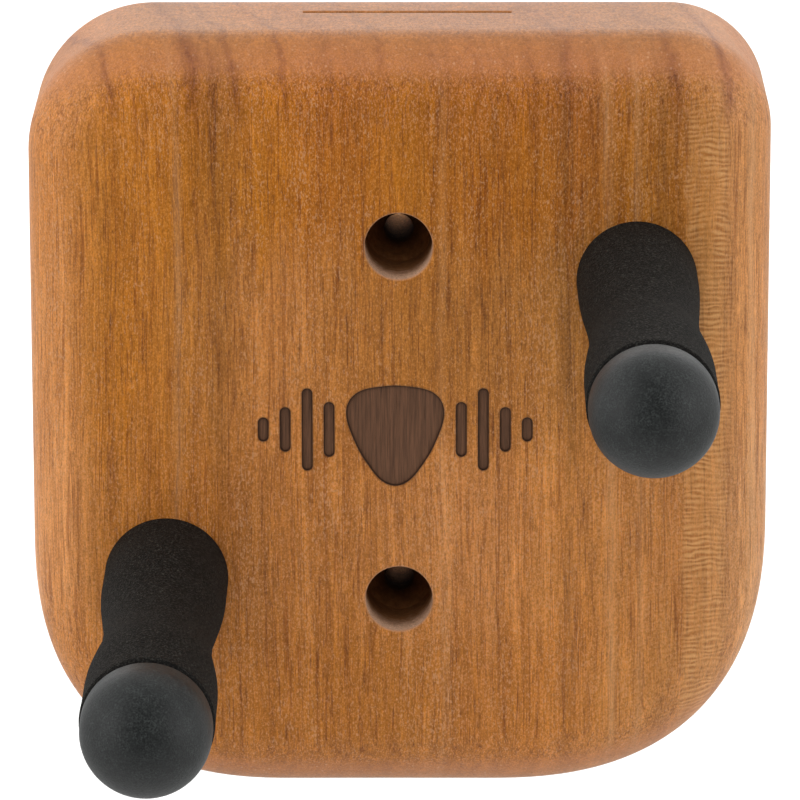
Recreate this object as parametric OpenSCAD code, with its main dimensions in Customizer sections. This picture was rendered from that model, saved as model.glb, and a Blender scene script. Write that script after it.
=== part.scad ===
// Wall guitar hanger: a solid-wood backplate with two foam-covered pegs.
// Frame: origin on the wall plane, midway between the two wall screws.
// +Z is up, +X is to the right of a person facing the wall, and the wall is
// the plane y = 0, so the plate's face and the pegs lie towards -Y.
// All sizes are in millimetres.

/* [Wood block] */
// Width of the block, side to side
block_w = 104.6; // [100:0.1:120]
// Height of the top edge above the middle of the screw pattern
block_up = 54.9; // [50:0.1:60]
// Depth of the bottom edge below the middle of the screw pattern
block_down = 55.2; // [50:0.1:60]
// Sideways offset of the block from the line of the screws
block_x = 0.1; // [-1:0.1:1]
// Thickness of the block, wall to front face
block_t = 28.6; // [27:0.1:34]
// Radius of the round-over that runs round the front edge
edge_r = 9.5; // [5:0.5:12]
// Radius of the upper left corner, shaped by hand
top_left_r = 17.3; // [13:0.1:22]
// Radius of the upper right corner, a little tighter
top_right_r = 14; // [13:0.1:22]
// Reach of the lower left corner curve along the side and the bottom
low_left = 37; // [30:0.5:48]
// Reach of the lower right corner curve along the side and the bottom
low_right = 40; // [30:0.5:48]
// Power of the lower corner curves (2 is a circle, higher is squarer)
low_power = 2.48; // [2.1:0.02:3.2]

/* [Wall screws] */
// Distance between the upper and the lower wall screw
screw_pitch = 51.5; // [44:0.5:56]
// Diameter of the clearance hole for the screw shank
screw_d = 4.2; // [4:0.1:6]
// Diameter of the counterbore that takes the screw head
head_d = 9.5; // [8:0.1:13]
// Depth of the counterbore from the front face
head_depth = 11; // [6:0.5:16]

/* [Pick slot] */
// Length of the slot in the top edge
slot_l = 29.6; // [24:0.2:36]
// Width of the slot, front to back
slot_w = 1.2; // [0.8:0.1:2.5]
// Depth of the slot below the top edge
slot_depth = 12; // [6:0.5:14]
// Distance of the slot from the wall plane
slot_back = 7.5; // [7:0.5:14]
// Sideways offset of the middle of the slot
slot_x = 1.2; // [-4:0.2:4]

/* [Peg positions] */
// Distance of the left peg's axis to the left of the middle
left_x = 33; // [30:0.1:36]
// Distance of the left peg's axis below the middle
left_drop = 22.5; // [10:0.5:24]
// Distance of the right peg's axis to the right of the middle
right_x = 33.4; // [30:0.1:36]
// Height of the right peg's axis above the middle
right_rise = 21; // [10:0.5:26]

/* [Pegs] */
// Length of the foam sleeve from the face to the cap joint
sleeve_l = 68.2; // [60:0.1:90]
// Radius of the left sleeve where it meets the wood
left_base_r = 8.8; // [8.4:0.1:10]
// Radius of the right sleeve where it meets the wood
right_base_r = 8.5; // [8.4:0.1:10]
// Radius of the sleeve at its waist, where the headstock hangs
waist_r = 7.6; // [7.2:0.1:8.4]
// Radius of the left sleeve at its flare, close to the cap
left_flare_r = 9.05; // [8.7:0.05:10.5]
// Radius of the right sleeve at its flare, cut a little slimmer
right_flare_r = 8.8; // [8.7:0.05:10.5]
// Radius of the left rubber cap
left_cap_r = 8.8; // [8.4:0.05:10.5]
// Radius of the right rubber cap
right_cap_r = 8.55; // [8.4:0.05:10.5]
// Height of the straight edge of the cap, below its dome
cap_edge = 2.6; // [0.8:0.1:4]
// Height of the cap's dome
dome_h = 8.6; // [6:0.1:10]
// Where the left sleeve starts to narrow, as a share of its length
left_taper = 0.15; // [0.08:0.01:0.25]
// Where the right sleeve starts to narrow, as a share of its length
right_taper = 0.10; // [0.08:0.01:0.25]
// Diameter of the steel shank inside the sleeve
shank_d = 8; // [7:0.5:9]

/* [Ornament] */
// Width of the plectrum burnt into the face
mark_pick_w = 14; // [10:0.5:16]
// Depth of the burnt ornament
mark_depth = 0.35; // [0.2:0.05:0.6]
// Distance from one bar to the next
mark_step = 3.1; // [2.2:0.1:3.2]

/* [Fixings] */
// Outside diameter of the brass insert pressed into the wood
insert_d = 11; // [10.5:0.5:12]
// Length of the brass insert in the wood
insert_l = 15; // [12:0.5:16]
// Thread diameter at the root of the stud
root_thread_d = 8; // [7:0.5:8]
// Thread diameter at the tip of the stud
tip_thread_d = 6; // [5:0.5:6]

/* [Hidden] */
$fn = 96;
eps = 0.5;

mark_x = -0.5;
mark_z = -0.8;
mark_bars = [8, 12, 6.5, 3.5];   // heights of the bars, from the plectrum outwards

left_at  = [-left_x, -left_drop];
right_at = [right_x, right_rise];

// Root of the stud inside the wood, measured inwards from the front face
insert_gap   = 0.6;                         // insert sits just below the face
insert_hole  = insert_l + insert_gap + 0.4; // wide part of the socket
root_l       = insert_l + 3;                // threaded root of the stud
socket_depth = root_l + 1.5;                // narrow relief behind the insert

// Stations along a peg, measured outwards from the front face
collar_t   = 4;                     // steel collar seated on the wood
collar_r   = 6.4;
hub_r      = 6.2;                   // spigot of the cap inside the sleeve
hub_l      = 10;
hub_from   = sleeve_l - hub_l;
tip_from   = sleeve_l - hub_l;      // shank ends where the tip thread starts
tip_l      = 11;
cap_ins_r  = 4.3;
cap_ins_l  = 9;
cap_ins_at = hub_from + 0.8;
foam_bore  = shank_d / 2 + 0.05;

// ---------------------------------------------------------------- outline

// One corner of radius r about c, from angle a0 to a1: [x, z, nx, nz]
function arc_pts(c, r, a0, a1, n) =
    [for (i = [0:n]) let (a = a0 + (a1 - a0) * i / n)
        [c[0] + r * cos(a), c[1] + r * sin(a), cos(a), sin(a)]];

// Unit vector along (x, z)
function unit2(x, z) = let (l = sqrt(x * x + z * z)) [x / l, z / l];

// Softer lower corner |x|^p + |z|^p = a^p about c.  sx is the side (+1 right),
// q0 and q1 the start and end angles of the quadrant
function soft_pts(c, a, p, sx, q0, q1, n) =
    [for (i = [0:n]) let (
        q = q0 + (q1 - q0) * i / n,
        x = pow(max(cos(q), 0), 2 / p), z = pow(max(sin(q), 0), 2 / p),
        m = unit2(pow(x, p - 1), pow(z, p - 1)))
        [c[0] + sx * a * x, c[1] - a * z, sx * m[0], -m[1]]];

x_right = block_x + block_w / 2;
x_left  = block_x - block_w / 2;
// Runs anticlockwise in front view, starting at the right side's lower corner
outline = concat(
    arc_pts([x_right - top_right_r, block_up - top_right_r], top_right_r, 0, 90, 14),
    arc_pts([x_left + top_left_r, block_up - top_left_r], top_left_r, 90, 180, 14),
    soft_pts([x_left + low_left, -block_down + low_left], low_left, low_power, -1, 0, 90, 24),
    soft_pts([x_right - low_right, -block_down + low_right], low_right, low_power, 1, 90, 0, 24));
n_out = len(outline);

// Outline moved inwards by d, at depth y
function ring(d, y) = [for (p = outline) [p[0] - d * p[2], y, p[1] - d * p[3]]];

edge_steps = 9;
// Rings from the wall plane to the front face: [inset, y]
stations = concat([[0, 0]],
    [for (i = [0:edge_steps]) let (a = 90 * i / edge_steps)
        [edge_r * (1 - cos(a)), -(block_t - edge_r) - edge_r * sin(a)]]);
n_st = len(stations);

module block_body() {
    pts = [for (s = stations) each ring(s[0], s[1])];
    side = [for (k = [0:n_st - 2], i = [0:n_out - 1]) let (j = (i + 1) % n_out)
        [k * n_out + i, k * n_out + j, (k + 1) * n_out + j, (k + 1) * n_out + i]];
    back = [[for (i = [n_out - 1:-1:0]) i]];
    front = [[for (i = [0:n_out - 1]) (n_st - 1) * n_out + i]];
    polyhedron(points = pts, faces = concat(side, back, front), convexity = 4);
}

// Cylinder that starts at distance t0 behind the front face and ends at t1
module bore(x, z, r, t0, t1) {
    translate([x, -block_t + t0, z]) rotate([-90, 0, 0]) cylinder(r = r, h = t1 - t0);
}

// Plain plectrum shape about w wide, with its tip down, used as ornament
function pick_pts(w, n) =
    [for (i = [0:n - 1]) let (
        a = 360 * i / n,
        r = w / 2 * (0.90 + 0.115 * cos(3 * (a + 90)) + 0.018 * cos(6 * (a + 90))))
        [r * cos(a) * 1.04, r * sin(a) * 1.14]];

// Upright bar with round ends, th wide and h high, centred on x
module bar(x, h, th) {
    translate([x - th / 2, -(h - th) / 2]) square([th, h - th]);
    for (s = [-1, 1]) translate([x, s * (h - th) / 2]) circle(d = th, $fn = 32);
}

// Shallow ornament burnt into the middle of the face: a plectrum between
// two groups of upright bars, like a sound wave
module ornament() {
    translate([mark_x, -block_t - eps, mark_z]) rotate([90, 0, 0]) mirror([0, 0, 1])
        linear_extrude(eps + mark_depth) {
            polygon(pick_pts(mark_pick_w, 60));
            for (s = [-1, 1], k = [0:3])
                bar(s * (mark_pick_w / 2 + mark_step * (k + 0.75)), mark_bars[k], 1.5);
        }
}

module wood_block() {
    color([0.64, 0.43, 0.24])
    difference() {
        block_body();
        // wall screws: counterbore for the head, clearance hole for the shank
        for (s = [-1, 1]) {
            bore(0, s * screw_pitch / 2, head_d / 2, -eps, head_depth);
            bore(0, s * screw_pitch / 2, screw_d / 2, head_depth - eps, block_t + eps);
        }
        // blind sockets for the brass inserts, with relief for the stud's end
        for (p = [left_at, right_at]) {
            bore(p[0], p[1], insert_d / 2, -eps, insert_hole);
            bore(p[0], p[1], root_thread_d / 2 + 0.2, insert_hole - eps, socket_depth);
        }
        // slot for a plectrum, cut down from the top edge
        translate([slot_x - slot_l / 2, -slot_back - slot_w / 2, block_up - slot_depth])
            cube([slot_l, slot_w, slot_depth + eps]);
        ornament();
    }
}

// ------------------------------------------------------------------- pegs

// Places a peg's part: its local +Z points out of the face
module at_peg(p) { translate([p[0], -block_t, p[1]]) rotate([90, 0, 0]) children(); }

// Straight-knurled ring outline, crests at r
function knurl_pts(r, n, d) =
    [for (i = [0:n - 1], k = [0:2]) let (a = 360 * (i + [0, 0.35, 0.68][k]) / n,
        q = [r, r, r - d][k]) [q * cos(a), q * sin(a)]];

// Press-in insert from t0 to t1 along the peg axis: three knurled bands
// between plain grooves, with a plain threaded hole of radius rb
module knurled_insert(ro, rb, t0, t1) {
    l = t1 - t0;
    difference() {
        union() {
            translate([0, 0, t0]) cylinder(r = ro - 0.6, h = l);
            for (k = [0:2])
                translate([0, 0, t0 + l * (0.02 + 0.34 * k)])
                    linear_extrude(l * 0.28) polygon(knurl_pts(ro, 28, 0.35));
        }
        translate([0, 0, t0 - eps]) cylinder(r = rb, h = l + 2 * eps);
    }
}

// Thread drawn as even ridges from t0 up to t1: crest radius r, depth d
function ridge_pts(r, d, t0, t1, pitch) =
    let (n = max(1, floor((t1 - t0) / pitch)))
    [for (i = [0:n - 1], k = [0:2])
        [[r - d, r, r][k], t0 + pitch * (i + [0, 0.38, 0.62][k])]];

// Steel stud: threaded root in the wood, collar on the face, plain shank,
// and a smaller threaded tip for the cap
module stud() {
    rr = root_thread_d / 2; rt = tip_thread_d / 2;
    rotate_extrude()
        polygon(concat(
            [[0, -root_l], [rr - 1.4, -root_l]],
            ridge_pts(rr, 0.7, -root_l + 1, -1, 1.25),
            [[rr - 0.7, -0.9], [rr - 0.7, 0], [collar_r, 0], [collar_r, collar_t - 0.6], [collar_r - 0.6, collar_t],
             [shank_d / 2, collar_t], [shank_d / 2, tip_from - 0.8], [shank_d / 2 - 0.8, tip_from]],
            ridge_pts(rt, 0.5, tip_from + 0.2, tip_from + tip_l - 0.8, 1),
            [[rt - 0.5, tip_from + tip_l - 0.5], [rt - 0.9, tip_from + tip_l], [0, tip_from + tip_l]]));
}

// Smooth step from 0 to 1
function ease(u) = let (v = min(1, max(0, u))) v * v * (3 - 2 * v);

// Radius of a sleeve at distance t from the face: rb at the wood, rf at the
// flare, narrowing from the share k of its length
function sleeve_r(t, rb, rf, k) =
    t < 0.46 * sleeve_l ? rb + (waist_r - rb) * ease((t - k * sleeve_l) / ((0.46 - k) * sleeve_l))
                        : t < 0.52 * sleeve_l ? waist_r
                        : waist_r + (rf - waist_r) * ease((t - 0.52 * sleeve_l) / (0.30 * sleeve_l));

// Foam sleeve: a waisted tube with a pocket for the collar at its root and
// another for the cap's spigot at its tip
module sleeve(rb, rf, k) {
    n = 34;
    rotate_extrude()
        polygon(concat(
            [[collar_r + 0.05, 0.02]],
            [[rb - 0.3, 0.02], [rb, 0.4]],
            [for (i = [1:n]) let (t = 0.4 + (sleeve_l - 1.9) * i / n) [sleeve_r(t, rb, rf, k), t]],
            [[rf - 0.18, sleeve_l - 0.8], [rf - 0.62, sleeve_l - 0.05],
             [hub_r + 0.05, sleeve_l - 0.05], [hub_r + 0.05, hub_from - 0.05], [foam_bore, hub_from - 0.05],
             [foam_bore, collar_t + 0.05], [collar_r + 0.05, collar_t + 0.05]]));
}

// Rubber cap of radius rc: a deep dome on a short straight edge, eased where
// it meets the foam, and a spigot that holds the cap insert
module cap(rc) {
    difference() {
        rotate_extrude()
            polygon(concat(
                [[0, hub_from], [hub_r - 0.5, hub_from], [hub_r, hub_from + 0.5], [hub_r, sleeve_l],
                 [rc - 0.4, sleeve_l], [rc - 0.1, sleeve_l + 0.12], [rc, sleeve_l + 0.4]],
                [for (i = [0:16]) let (a = 90 * i / 16)
                    [rc * cos(a), sleeve_l + cap_edge + dome_h * sin(a)]]));
        translate([0, 0, hub_from - eps]) cylinder(r = shank_d / 2 + 0.05, h = eps + 0.8);
        translate([0, 0, cap_ins_at - 0.1]) cylinder(r = cap_ins_r, h = cap_ins_l + 0.2);
        translate([0, 0, cap_ins_at]) cylinder(r = tip_thread_d / 2 + 0.2, h = cap_ins_l + 2.4);
    }
}

module left_threaded_insert() {
    color([0.76, 0.60, 0.28]) at_peg(left_at)
        knurled_insert(insert_d / 2, root_thread_d / 2 + 0.02, -insert_gap - insert_l, -insert_gap);
}
module right_threaded_insert() {
    color([0.76, 0.60, 0.28]) at_peg(right_at)
        knurled_insert(insert_d / 2, root_thread_d / 2 + 0.02, -insert_gap - insert_l, -insert_gap);
}
module left_peg_stud() { color([0.62, 0.63, 0.65]) at_peg(left_at) stud(); }
module right_peg_stud() { color([0.62, 0.63, 0.65]) at_peg(right_at) stud(); }
module left_foam_sleeve() {
    color([0.16, 0.16, 0.15]) at_peg(left_at) sleeve(left_base_r, left_flare_r, left_taper);
}
module right_foam_sleeve() {
    color([0.16, 0.16, 0.15]) at_peg(right_at) sleeve(right_base_r, right_flare_r, right_taper);
}
module left_cap_insert() {
    color([0.76, 0.60, 0.28]) at_peg(left_at)
        knurled_insert(cap_ins_r, tip_thread_d / 2 + 0.02, cap_ins_at, cap_ins_at + cap_ins_l);
}
module right_cap_insert() {
    color([0.76, 0.60, 0.28]) at_peg(right_at)
        knurled_insert(cap_ins_r, tip_thread_d / 2 + 0.02, cap_ins_at, cap_ins_at + cap_ins_l);
}
module left_end_cap() { color([0.27, 0.28, 0.28]) at_peg(left_at) cap(left_cap_r); }
module right_end_cap() { color([0.27, 0.28, 0.28]) at_peg(right_at) cap(right_cap_r); }

wood_block();
left_threaded_insert();
right_threaded_insert();
left_peg_stud();
right_peg_stud();
left_foam_sleeve();
right_foam_sleeve();
left_cap_insert();
right_cap_insert();
left_end_cap();
right_end_cap();
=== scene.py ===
import math

import bpy
import bmesh
import numpy as np
from mathutils import Matrix, Vector
from mathutils.geometry import delaunay_2d_cdt


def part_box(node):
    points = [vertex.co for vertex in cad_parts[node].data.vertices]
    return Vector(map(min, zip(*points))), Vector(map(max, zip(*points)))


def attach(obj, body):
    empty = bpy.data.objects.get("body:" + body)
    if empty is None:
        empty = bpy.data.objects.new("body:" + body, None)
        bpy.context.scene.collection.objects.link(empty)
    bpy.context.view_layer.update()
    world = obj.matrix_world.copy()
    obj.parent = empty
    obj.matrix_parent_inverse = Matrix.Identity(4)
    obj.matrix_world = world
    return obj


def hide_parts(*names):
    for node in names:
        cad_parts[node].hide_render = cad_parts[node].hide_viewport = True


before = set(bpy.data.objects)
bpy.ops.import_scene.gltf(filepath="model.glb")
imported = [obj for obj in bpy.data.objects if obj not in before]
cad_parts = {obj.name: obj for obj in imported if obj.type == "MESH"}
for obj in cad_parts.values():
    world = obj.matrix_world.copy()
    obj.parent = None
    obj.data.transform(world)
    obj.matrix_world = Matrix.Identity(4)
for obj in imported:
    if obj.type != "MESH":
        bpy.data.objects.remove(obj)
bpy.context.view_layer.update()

MM = 0.001
rng = np.random.default_rng(26)

# ------------------------------------------------------------------ frame
blo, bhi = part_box("wood_block")
X0, X1 = blo[0] / MM, bhi[0] / MM          # left and right sides, mm
Z0, Z1 = blo[2] / MM, bhi[2] / MM          # bottom and top, mm
T = -blo[1] / MM                           # thickness, mm
EDGE_R = 9.5                               # round-over of the front edge
TOP_L, TOP_R = 17.3, 14.0                  # upper corner radii
LOW_L, LOW_R, LOW_P = 37.0, 40.0, 2.48     # lower corner curves


def peg_frame(side):
    """Axis (x, z), face distance of the cap joint and of the tip, in mm."""
    slo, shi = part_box(side + "_foam_sleeve")
    clo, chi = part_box(side + "_end_cap")
    x, z = (slo[0] + shi[0]) / 2 / MM, (slo[2] + shi[2]) / 2 / MM
    return x, z, -slo[1] / MM - T + 0.05, -clo[1] / MM - T


# ----------------------------------------------------------------- camera
def make_camera():
    cam = bpy.data.cameras.new("camera")
    ob = bpy.data.objects.new("camera", cam)
    bpy.context.collection.objects.link(ob)
    pitch, yaw, roll = math.radians(15.1306), math.radians(-0.2301), math.radians(-0.0742)
    cp, sp, cy, sy = math.cos(pitch), math.sin(pitch), math.cos(yaw), math.sin(yaw)
    fwd = Vector((sy * cp, cy * cp, -sp))
    right = Vector((cy, -sy, 0))
    up = right.cross(fwd)
    r2 = math.cos(roll) * right + math.sin(roll) * up
    u2 = -math.sin(roll) * right + math.cos(roll) * up
    m = Matrix((r2, u2, -fwd)).transposed().to_4x4()
    m.translation = Vector((3.711, -909.417, 241.697)) * MM
    ob.matrix_world = m
    cam.sensor_width = 36
    cam.sensor_fit = "HORIZONTAL"
    cam.lens = 6476.56 / 800 * 36
    cam.clip_start, cam.clip_end = 0.02, 60
    cam.dof.use_dof = False
    bpy.context.scene.camera = ob
    return ob


camera = make_camera()

# ------------------------------------------------------------- mesh tools


class Builder:
    """Collects points (mm), faces and per-point values, then makes an object."""

    def __init__(self):
        self.co, self.val, self.faces, self.sharp = [], [], [], set()

    def add(self, pts, burn=0.0, cut=0.0, bored=0.0):
        pts = np.asarray(pts, float)
        base = len(self.co)
        n = len(pts)
        b = np.broadcast_to(burn, n)
        c = np.broadcast_to(cut, n)
        d = np.broadcast_to(bored, n)
        for i in range(n):
            self.co.append(tuple(pts[i]))
            self.val.append((float(b[i]), float(c[i]), float(d[i])))
        return list(range(base, base + n))

    def band(self, a, b, closed=True):
        n = len(a)
        for i in range(n if closed else n - 1):
            j = (i + 1) % n
            self.faces.append((a[i], a[j], b[j], b[i]))

    def crease(self, loop):
        n = len(loop)
        for i in range(n):
            self.sharp.add(tuple(sorted((loop[i], loop[(i + 1) % n]))))

    def fill(self, outer, holes, axes, extra=None, attr=None):
        """Triangulates the flat region inside outer and outside holes.
        axes are the two coordinates of the plane; extra is a dict whose co entry holds the 3-D points to add inside,
        and attr gives their per-point values."""
        u, v = axes
        idx = list(outer)
        loops = [list(outer)] + [list(h) for h in holes]
        for h in holes:
            idx += list(h)
        pos = {k: n for n, k in enumerate(idx)}
        pts = [Vector((self.co[k][u], self.co[k][v])) for k in idx]
        edges = []
        for lp in loops:
            for i in range(len(lp)):
                edges.append((pos[lp[i]], pos[lp[(i + 1) % len(lp)]]))
        if extra is not None and len(extra):
            new = self.add(extra["co"], **(attr or {}))
            idx += new
            pts += [Vector((self.co[k][u], self.co[k][v])) for k in new]
        vo, eo, fo, ov, oe, of_ = delaunay_2d_cdt(pts, edges, [], 0, 1e-6)
        back = [idx[o[0]] for o in ov]
        tri = np.array([[back[i] for i in f] for f in fo])
        allco = np.array(self.co)[:, [u, v]]
        cen = allco[tri].mean(1)
        keep = inside(cen, allco[loops[0]])
        for h in loops[1:]:
            keep &= ~inside(cen, allco[h])
        for t in tri[keep]:
            self.faces.append(tuple(int(i) for i in t))

    def build(self, name, smooth=True):
        me = bpy.data.meshes.new(name)
        me.from_pydata([(x * MM, y * MM, z * MM) for x, y, z in self.co], [], self.faces)
        me.validate()
        for k, key in enumerate(("burn", "cut", "bored")):
            at = me.attributes.new(key, "FLOAT", "POINT")
            at.data.foreach_set("value", [v[k] for v in self.val])
        bm = bmesh.new()
        bm.from_mesh(me)
        bmesh.ops.recalc_face_normals(bm, faces=bm.faces)
        for f in bm.faces:
            f.smooth = smooth
        bm.edges.ensure_lookup_table()
        for e in bm.edges:
            k = tuple(sorted((e.verts[0].index, e.verts[1].index)))
            if k in self.sharp:
                e.smooth = False
        loose = [v for v in bm.verts if not v.link_faces]
        bmesh.ops.delete(bm, geom=loose, context="VERTS")
        bm.to_mesh(me)
        bm.free()
        ob = bpy.data.objects.new(name, me)
        bpy.context.collection.objects.link(ob)
        return ob


def inside(p, poly):
    """Even-odd test of the points p (n, 2) in the polygon poly (m, 2)."""
    x, y = p[:, 0][:, None], p[:, 1][:, None]
    a, b = poly, np.roll(poly, -1, 0)
    cond = (a[:, 1][None] > y) != (b[:, 1][None] > y)
    with np.errstate(divide="ignore", invalid="ignore"):
        xi = (b[:, 0] - a[:, 0])[None] * (y - a[:, 1][None]) / (b[:, 1] - a[:, 1])[None] + a[:, 0][None]
    return (np.sum(cond & (x < xi), 1) % 2) == 1


def loop_dist(p, poly):
    """Distance of the points p to the polygon's edges."""
    a, b = poly, np.roll(poly, -1, 0)
    ab = b - a
    L = np.maximum((ab ** 2).sum(1), 1e-12)
    t = np.clip(((p[:, None] - a[None]) * ab[None]).sum(2) / L[None], 0, 1)
    d = p[:, None] - (a[None] + t[..., None] * ab[None])
    return np.sqrt((d ** 2).sum(2)).min(1)


def value_noise(p, seed=0):
    """Smooth 3-D value noise in -1..1 at the points p (n, 3), repeatable."""
    p = np.asarray(p, float)
    i = np.floor(p).astype(np.int64)
    f = p - i
    f = f * f * (3 - 2 * f)
    out = 0
    for dx in (0, 1):
        for dy in (0, 1):
            for dz in (0, 1):
                q = i + (dx, dy, dz)
                h = (q[:, 0] * 374761393 + q[:, 1] * 668265263 + q[:, 2] * 2147483647 + seed * 974711) & 0xFFFFFFFF
                h = ((h ^ (h >> 13)) * 1274126177) & 0xFFFFFFFF
                h = (h ^ (h >> 16)) / 4294967295.0 * 2 - 1
                w = (f[:, 0] if dx else 1 - f[:, 0]) * (f[:, 1] if dy else 1 - f[:, 1]) * (f[:, 2] if dz else 1 - f[:, 2])
                out = out + w * h
    return out


# ------------------------------------------------------------ wood block
def outline(m=720):
    """Outline of the block, evenly spaced: x, z and outward normal."""
    pts = []

    def arc(cx, cz, r, a0, a1, n=160):
        for k in range(n + 1):
            a = math.radians(a0 + (a1 - a0) * k / n)
            pts.append((cx + r * math.cos(a), cz + r * math.sin(a), math.cos(a), math.sin(a)))

    def soft(cx, cz, a, sx, q0, q1, n=400):
        for k in range(n + 1):
            q = math.radians(q0 + (q1 - q0) * k / n)
            x = max(math.cos(q), 0) ** (2 / LOW_P)
            z = max(math.sin(q), 0) ** (2 / LOW_P)
            mx, mz = x ** (LOW_P - 1), z ** (LOW_P - 1)
            l = math.hypot(mx, mz)
            pts.append((cx + sx * a * x, cz - a * z, sx * mx / l, -mz / l))

    arc(X1 - TOP_R, Z1 - TOP_R, TOP_R, 0, 90)
    arc(X0 + TOP_L, Z1 - TOP_L, TOP_L, 90, 180)
    soft(X0 + LOW_L, Z0 + LOW_L, LOW_L, -1, 0, 90)
    soft(X1 - LOW_R, Z0 + LOW_R, LOW_R, 1, 90, 0)
    p = np.array(pts)
    p = p[np.r_[True, np.hypot(*np.diff(p[:, :2], axis=0).T) > 1e-6]]
    c = np.vstack([p, p[:1]])
    s = np.r_[0, np.cumsum(np.hypot(*np.diff(c[:, :2], axis=0).T))]
    # keep the two ends of the straight top edge exactly on points
    i_r = int(np.argmin(np.hypot(p[:, 0] - (X1 - TOP_R), p[:, 1] - Z1)))
    i_l = int(np.argmin(np.hypot(p[:, 0] - (X0 + TOP_L), p[:, 1] - Z1)))
    s_r, s_l, L = s[i_r], s[i_l], s[-1]
    h = L / m
    n_top = max(8, int(round((s_l - s_r) / h)))
    n_rest = m - n_top
    t = np.r_[np.linspace(s_r, s_l, n_top, endpoint=False), np.linspace(s_l, s_r + L, n_rest, endpoint=False)] % L
    o = np.stack([np.interp(t, s, c[:, k]) for k in range(4)], 1)
    o[:, 2:] /= np.hypot(o[:, 2], o[:, 3])[:, None]
    return o, n_top


def ring_mm(o, d, y):
    return np.stack([o[:, 0] - d * o[:, 2], np.full(len(o), y), o[:, 1] - d * o[:, 3]], 1)


def circle(cx, cz, r, y, n):
    a = np.linspace(0, 2 * math.pi, n, endpoint=False)
    return np.stack([cx + r * np.cos(a), np.full(n, y) if np.isscalar(y) else y, cz + r * np.sin(a)], 1)


def pick_loop(w, n=144):
    """Plectrum outline in the block's (x, z), the tip down."""
    a = np.linspace(0, 2 * math.pi, n, endpoint=False)
    r = w / 2 * (0.90 + 0.115 * np.cos(3 * (a + math.pi / 2)) + 0.018 * np.cos(6 * (a + math.pi / 2)))
    return np.stack([r * np.cos(a) * 1.04, r * np.sin(a) * 1.14], 1)


def bar_loop(x, h, th, n=14, side=8):
    """Upright bar with round ends."""
    r, z = th / 2, (h - th) / 2
    up = [(x + r * math.cos(a), z + r * math.sin(a)) for a in np.linspace(0, math.pi, n)]
    lf = [(x - r, z - 2 * z * k / side) for k in range(1, side)]
    dn = [(x + r * math.cos(a), -z + r * math.sin(a)) for a in np.linspace(math.pi, 2 * math.pi, n)]
    rt = [(x + r, -z + 2 * z * k / side) for k in range(1, side)]
    return np.array(up + lf + dn + rt)


def offset_loop(p, d):
    """Moves an anticlockwise loop outwards by d."""
    t = np.roll(p, -1, 0) - np.roll(p, 1, 0)
    nrm = np.stack([t[:, 1], -t[:, 0]], 1)
    nrm /= np.hypot(nrm[:, 0], nrm[:, 1])[:, None]
    return p + nrm * d


MARK_AT = (-0.5, -0.8)
MARK_W, MARK_DEPTH, MARK_STEP, BAR_W = 14.0, 0.35, 3.1, 1.5
BARS = (8.0, 12.0, 6.5, 3.5)


def mark_loops():
    out = [pick_loop(MARK_W)]
    for s in (-1, 1):
        for k, h in enumerate(BARS):
            out.append(bar_loop(s * (MARK_W / 2 + MARK_STEP * (k + 0.75)), h, BAR_W))
    return [l + np.array(MARK_AT) for l in out]


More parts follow.
